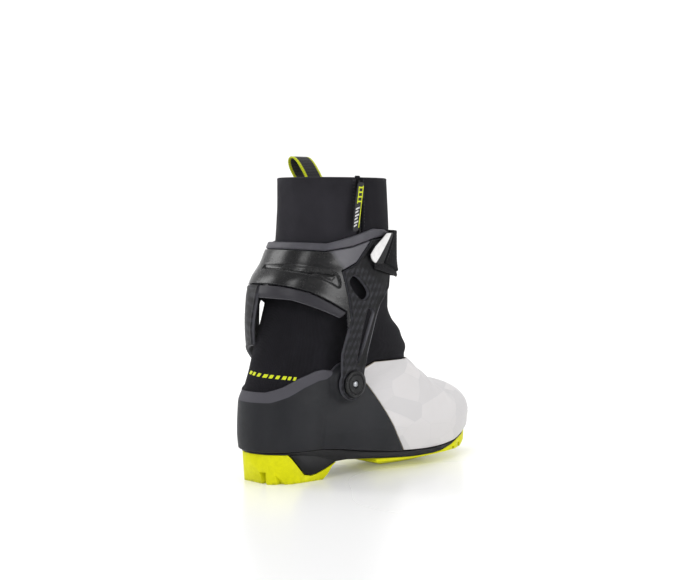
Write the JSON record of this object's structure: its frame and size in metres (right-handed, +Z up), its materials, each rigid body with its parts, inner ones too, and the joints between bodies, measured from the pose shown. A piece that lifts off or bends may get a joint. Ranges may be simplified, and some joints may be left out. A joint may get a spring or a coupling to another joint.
{
  "type": "cross-country skating boot",
  "caption": "Right ski skating boot: softshell upper, carbon cuff on ankle pivots, wrap strap, zipped collar, pull loop and lugged rubber sole.",
  "frame": {"origin": "on the floor, under the middle of the boot's bounding box", "axes": "+X towards the toe, +Y towards the inner side of the foot, +Z up"},
  "size_m": [0.2888, 0.1088, 0.2967],
  "materials": {
    "shell_plastic": "matte, finely grained",
    "frame_plastic": "matte black",
    "stretch_fabric": "matte stretch knit",
    "softshell": "matte softshell",
    "cuff_plastic": "satin to gloss black",
    "carbon": "carbon twill under clear resin",
    "trim_plastic": "satin dark grey",
    "cover_fabric": "coated off-white with a faint faceted print",
    "sole_rubber": "matte lime",
    "steel": "brushed",
    "board": "fibre board",
    "foam": "felt on foam",
    "lace_cord": "braided cord",
    "webbing": "woven black tape with lime edges",
    "strap_fabric": "coated black",
    "strap_white": "coated white",
    "hook_pad": "brushed loop pile",
    "zip_plastic": "satin black",
    "tag_rubber": "moulded black and lime"
  },
  "bodies": {
    "boot": {"sole_frame": "frame_plastic", "heel_rubber": "sole_rubber", "forefoot_rubber": "sole_rubber", "toe_bar": "steel", "heel_sock": "stretch_fabric", "vamp": "stretch_fabric", "ankle_sleeve": "stretch_fabric", "forefoot_cover": "cover_fabric", "lasting_board": "board", "insole": "foam", "eyestay_lateral": "strap_fabric", "eyestay_medial": "strap_fabric", "tongue": "foam", "toe_puff": "board", "lace": "lace_cord", "heel_shell": "shell_plastic", "pivot_rivet_lateral": "cuff_plastic", "pivot_washer_lateral": "trim_plastic", "pivot_nut_lateral": "steel", "pivot_rivet_medial": "cuff_plastic", "pivot_washer_medial": "trim_plastic", "pivot_nut_medial": "steel"},
    "cuff": {"arm_lateral": "carbon", "arm_medial": "carbon", "cuff_shell": "cuff_plastic", "cuff_lower_trim": "trim_plastic", "cuff_top_trim": "trim_plastic", "collar_rear": "softshell", "collar_front": "softshell", "zip_tape": "zip_plastic", "zip_teeth": "zip_plastic", "pull_loop": "webbing", "loop_patch": "hook_pad", "strap_tab": "strap_fabric", "strap_rivet": "cuff_plastic"},
    "strap": {"strap": "strap_fabric", "strap_backing": "hook_pad", "strap_tip": "strap_white"},
    "zip_slider": {"zip_slider": "zip_plastic"},
    "zip_puller": {"zip_puller": "tag_rubber"}
  },
  "joints": [
    {"name": "cuff_flex", "type": "hinge", "parent": "boot", "child": "cuff", "pos_m": [-0.05885, -0.00084, 0.0875], "axis": [0, 1, 0], "range_deg": [-8, 20], "stiffness_Nm_per_rad": 3, "deforming": ["ankle_sleeve"]},
    {"name": "strap_open", "type": "hinge", "parent": "cuff", "child": "strap", "pos_m": [-0.01195, 0.04706, 0.205], "axis": [0, 0, 1], "range_deg": [0, 100]},
    {"name": "zip_slide", "type": "slide", "parent": "cuff", "child": "zip_slider", "axis": [0, -0.0189, -0.9998], "range_m": [0, 0.03]},
    {"name": "puller_swing", "type": "hinge", "parent": "zip_slider", "child": "zip_puller", "pos_m": [-0.04835, -0.04914, 0.2685], "axis": [-1, 0, 0], "range_deg": [0, 120]}
  ]
}
